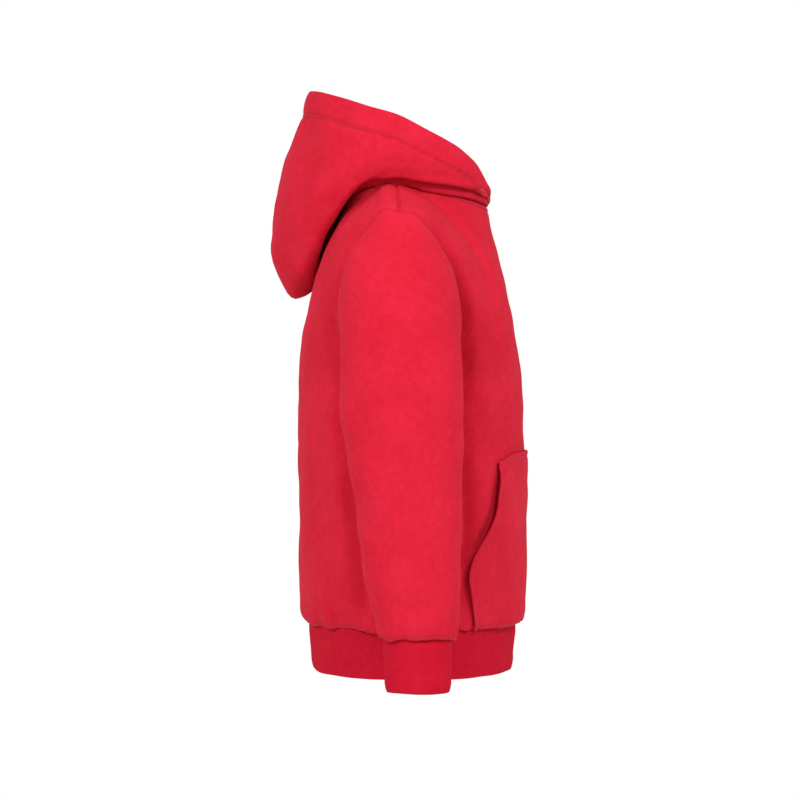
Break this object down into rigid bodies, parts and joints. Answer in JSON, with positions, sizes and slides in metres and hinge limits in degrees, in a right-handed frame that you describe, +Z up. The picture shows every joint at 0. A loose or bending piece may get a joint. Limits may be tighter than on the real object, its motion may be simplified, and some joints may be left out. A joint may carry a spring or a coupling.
{
  "type": "kids hoodie",
  "caption": "Child's pullover hoodie filled out as worn, hood down behind, set-in sleeves, kangaroo pocket, rib cuffs and hem band.",
  "frame": {"origin": "on the centre plane, level with the high points of the shoulders, in the plane of the shoulder seams: where the garment hangs on the wearer", "axes": "+Z up, -Y towards the front of the garment, -X towards the wearer's right"},
  "size_m": [0.501, 0.2699, 0.6121],
  "materials": {
    "fleece": "brushed-back sweatshirt fleece with a fine jersey face, matt",
    "rib": "rib knit, matt"
  },
  "bodies": {
    "root": {"front_body": "fleece", "back_body": "fleece", "sleeve_right": "fleece", "sleeve_left": "fleece", "cuff_right": "rib", "cuff_left": "rib", "hood_right": "fleece", "hood_left": "fleece", "hem_band": "rib", "kangaroo_pocket": "fleece"}
  },
  "joints": []
}
